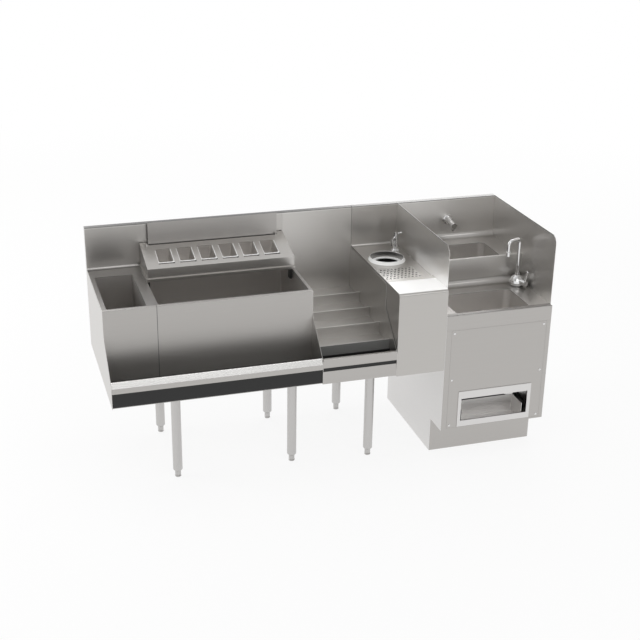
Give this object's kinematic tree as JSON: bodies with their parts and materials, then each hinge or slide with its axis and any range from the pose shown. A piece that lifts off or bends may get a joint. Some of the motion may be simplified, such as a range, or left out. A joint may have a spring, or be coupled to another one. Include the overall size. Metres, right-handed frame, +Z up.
{
  "type": "bar sink with ice bin",
  "caption": "Stainless underbar row: bottle well, ice bin with sloped garnish tray, tiered bottle display, dump sink, and a two-bowl sink on a cabinet.",
  "frame": {"origin": "middle of the footprint, on the floor", "axes": "+X along the row from the bottle well to the sinks, +Y towards the wall behind, +Z up"},
  "size_m": [1.778, 0.6224, 0.9491],
  "materials": {
    "stainless": "brushed sheet, grain along the row",
    "bright_steel": "turned or pressed, brighter than the sheet",
    "pan_steel": "satin",
    "leg_steel": "brushed tube",
    "foot_steel": "turned",
    "chrome": "polished",
    "rail_black": "satin moulded",
    "guide_black": "matte block",
    "foam": "foam, hidden"
  },
  "bodies": {
    "row": {"end_panels": "stainless", "back_panels": "stainless", "well_top": "stainless", "bin_top": "stainless", "well_liner": "stainless", "bin_liner": "stainless", "bin_insulation": "foam", "front_panels": "stainless", "rail_liners": "rail_black", "bin_rail_bar": "stainless", "display_rail_bar": "stainless", "display_apron": "stainless", "display_steps": "stainless", "display_splash": "stainless", "dump_top": "stainless", "dump_side_panels": "stainless", "dump_bowl": "stainless", "floor_pans": "stainless", "dump_collar": "bright_steel", "tall_side_plates": "stainless", "sink_bowls": "stainless", "cabinet_body": "stainless", "opening_bezel": "stainless", "access_panel": "stainless", "cabinet_front": "stainless", "panel_screws": "bright_steel", "toe_kick": "stainless", "catch_bin": "stainless", "drain_fittings": "bright_steel", "filler_tap_body": "chrome", "wall_spout": "chrome", "gooseneck_body": "chrome", "rear_sink_top": "stainless", "front_sink_top": "stainless", "leg_tubes": "leg_steel", "leg_inserts": "foot_steel", "leg_sockets": "foot_steel"},
    "tray": {"garnish_tray": "stainless", "tray_frame": "stainless", "tray_guides": "guide_black", "cover_studs": "bright_steel"},
    "cover": {"garnish_cover": "stainless"},
    "basket": {"strainer_basket": "bright_steel"},
    "insert": {"drain_insert": "bright_steel"},
    "filler_swivel": {"filler_spout": "chrome"},
    "filler_handle": {"filler_lever": "chrome"},
    "gooseneck": {"gooseneck_spout": "chrome"},
    "gooseneck_handle": {"gooseneck_lever": "chrome"},
    "pan_1": {"garnish_pan_1": "pan_steel"},
    "pan_2": {"garnish_pan_2": "pan_steel"},
    "pan_3": {"garnish_pan_3": "pan_steel"},
    "pan_4": {"garnish_pan_4": "pan_steel"},
    "pan_5": {"garnish_pan_5": "pan_steel"},
    "pan_6": {"garnish_pan_6": "pan_steel"},
    "foot_1": {"foot_1": "foot_steel"},
    "foot_2": {"foot_2": "foot_steel"},
    "foot_3": {"foot_3": "foot_steel"},
    "foot_4": {"foot_4": "foot_steel"},
    "foot_5": {"foot_5": "foot_steel"},
    "foot_6": {"foot_6": "foot_steel"}
  },
  "joints": [
    {"name": "tray_slide", "type": "slide", "parent": "row", "child": "tray", "axis": [0, -1, 0], "range_m": [0, 0.2]},
    {"name": "cover_lift", "type": "slide", "parent": "tray", "child": "cover", "axis": [0, 0, 1], "range_m": [0, 0.1]},
    {"name": "pan_1_lift", "type": "slide", "parent": "tray", "child": "pan_1", "axis": [0, -0.2504, 0.9681], "range_m": [0, 0.12]},
    {"name": "pan_2_lift", "type": "slide", "parent": "tray", "child": "pan_2", "axis": [0, -0.2504, 0.9681], "range_m": [0, 0.12]},
    {"name": "pan_3_lift", "type": "slide", "parent": "tray", "child": "pan_3", "axis": [0, -0.2504, 0.9681], "range_m": [0, 0.12]},
    {"name": "pan_4_lift", "type": "slide", "parent": "tray", "child": "pan_4", "axis": [0, -0.2504, 0.9681], "range_m": [0, 0.12]},
    {"name": "pan_5_lift", "type": "slide", "parent": "tray", "child": "pan_5", "axis": [0, -0.2504, 0.9681], "range_m": [0, 0.12]},
    {"name": "pan_6_lift", "type": "slide", "parent": "tray", "child": "pan_6", "axis": [0, -0.2504, 0.9681], "range_m": [0, 0.12]},
    {"name": "basket_lift", "type": "slide", "parent": "row", "child": "basket", "axis": [0, 0, 1], "range_m": [0, 0.045]},
    {"name": "insert_lift", "type": "slide", "parent": "row", "child": "insert", "axis": [0, 0, 1], "range_m": [0, 0.06]},
    {"name": "filler_spout_turn", "type": "hinge", "parent": "row", "child": "filler_swivel", "pos_m": [0.394, 0.19075, 0.816], "axis": [0, 0, 1], "range_deg": [-70, 70]},
    {"name": "filler_lever_turn", "type": "hinge", "parent": "row", "child": "filler_handle", "pos_m": [0.394, 0.19075, 0.8303], "axis": [0, 0, 1], "range_deg": [-60, 30]},
    {"name": "gooseneck_turn", "type": "hinge", "parent": "row", "child": "gooseneck", "pos_m": [0.849, -0.05525, 0.6793], "axis": [0, 0, 1], "range_deg": [-100, 60]},
    {"name": "gooseneck_lever_turn", "type": "hinge", "parent": "row", "child": "gooseneck_handle", "pos_m": [0.86136, -0.09329, 0.675], "axis": [0.309, -0.9511, 0], "range_deg": [0, 75]},
    {"name": "foot_1_screw", "type": "slide", "parent": "row", "child": "foot_1", "axis": [0, 0, 1], "range_m": [-0.025, 0]},
    {"name": "foot_2_screw", "type": "slide", "parent": "row", "child": "foot_2", "axis": [0, 0, 1], "range_m": [-0.025, 0]},
    {"name": "foot_3_screw", "type": "slide", "parent": "row", "child": "foot_3", "axis": [0, 0, 1], "range_m": [-0.025, 0]},
    {"name": "foot_4_screw", "type": "slide", "parent": "row", "child": "foot_4", "axis": [0, 0, 1], "range_m": [-0.025, 0]},
    {"name": "foot_5_screw", "type": "slide", "parent": "row", "child": "foot_5", "axis": [0, 0, 1], "range_m": [-0.025, 0]},
    {"name": "foot_6_screw", "type": "slide", "parent": "row", "child": "foot_6", "axis": [0, 0, 1], "range_m": [-0.025, 0]}
  ]
}
